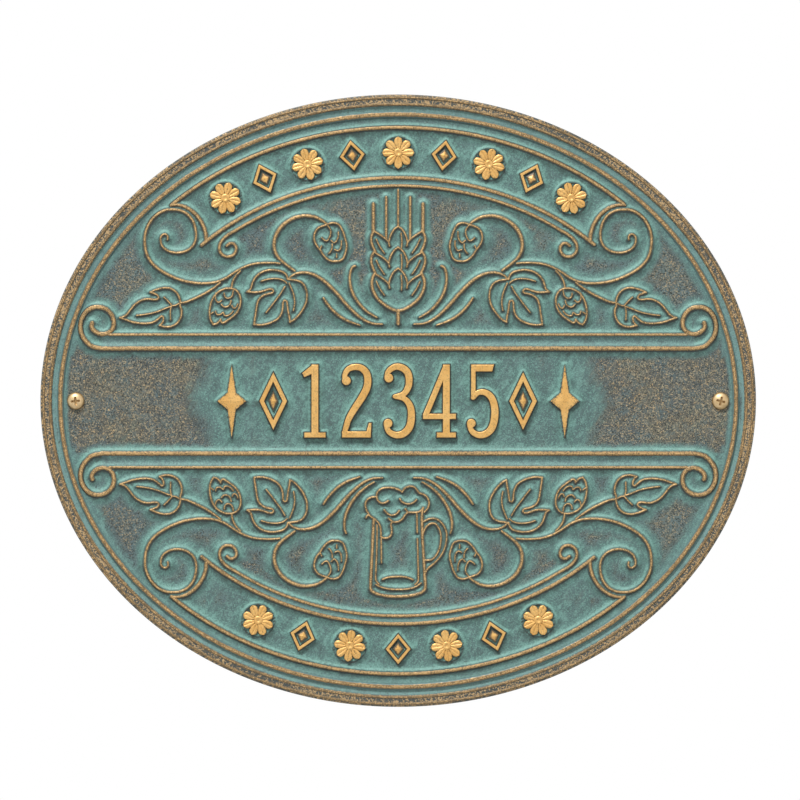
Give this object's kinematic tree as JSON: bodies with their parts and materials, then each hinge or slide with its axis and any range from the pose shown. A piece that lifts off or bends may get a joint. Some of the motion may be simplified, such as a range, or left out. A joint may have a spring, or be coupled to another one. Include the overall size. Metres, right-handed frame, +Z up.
{
  "type": "wall plaque",
  "caption": "Oval hollow-backed cast wall plaque with a raised rim, hop-vine, mug and barley relief and raised figures, held by cross-head screws.",
  "frame": {"origin": "centre of the oval on the wall plane, the flat back of the rim", "axes": "+Z up as it hangs, +X to the right of someone reading the plaque, so the relief faces -Y, and +Y is into the wall along the screws"},
  "size_m": [0.368, 0.0349, 0.315],
  "materials": {
    "slate_field": "cast aluminium, dark bronze paint washed with verdigris",
    "bronze_relief": "bronze paint, crests rubbed bright, verdigris at the foot",
    "verdigris": "matt verdigris wash in the pads, bronze lines",
    "rubbed_gold": "gold bronze paint, rubbed",
    "screw_brass": "lightly tarnished brass"
  },
  "bodies": {
    "root": {"field_plate": "slate_field", "rim_band": "bronze_relief", "outer_bead": "rubbed_gold", "inner_bead": "rubbed_gold", "border_ridge": "bronze_relief", "upper_banner": "bronze_relief", "lower_banner": "bronze_relief", "upper_arch_line": "bronze_relief", "lower_arch_line": "bronze_relief", "upper_rail": "bronze_relief", "lower_rail": "bronze_relief", "upper_left_vine": "bronze_relief", "upper_right_vine": "bronze_relief", "lower_left_vine": "bronze_relief", "lower_right_vine": "bronze_relief", "upper_left_inner_leaf": "verdigris", "upper_right_inner_leaf": "verdigris", "lower_left_inner_leaf": "verdigris", "lower_right_inner_leaf": "verdigris", "upper_left_outer_leaf": "verdigris", "upper_right_outer_leaf": "verdigris", "lower_left_outer_leaf": "verdigris", "lower_right_outer_leaf": "verdigris", "upper_left_inner_hop": "verdigris", "upper_right_inner_hop": "verdigris", "lower_left_inner_hop": "verdigris", "lower_right_inner_hop": "verdigris", "upper_left_outer_hop": "verdigris", "upper_right_outer_hop": "verdigris", "lower_left_outer_hop": "verdigris", "lower_right_outer_hop": "verdigris", "barley_ear": "verdigris", "mug": "bronze_relief", "figure_1": "rubbed_gold", "figure_2": "rubbed_gold", "figure_3": "rubbed_gold", "figure_4": "rubbed_gold", "figure_5": "rubbed_gold", "panel_lozenges": "rubbed_gold", "panel_stars": "rubbed_gold", "upper_banner_rosettes": "rubbed_gold", "upper_banner_lozenges": "rubbed_gold", "lower_banner_rosettes": "rubbed_gold", "lower_banner_lozenges": "rubbed_gold", "left_screw": "screw_brass", "right_screw": "screw_brass"}
  },
  "joints": []
}
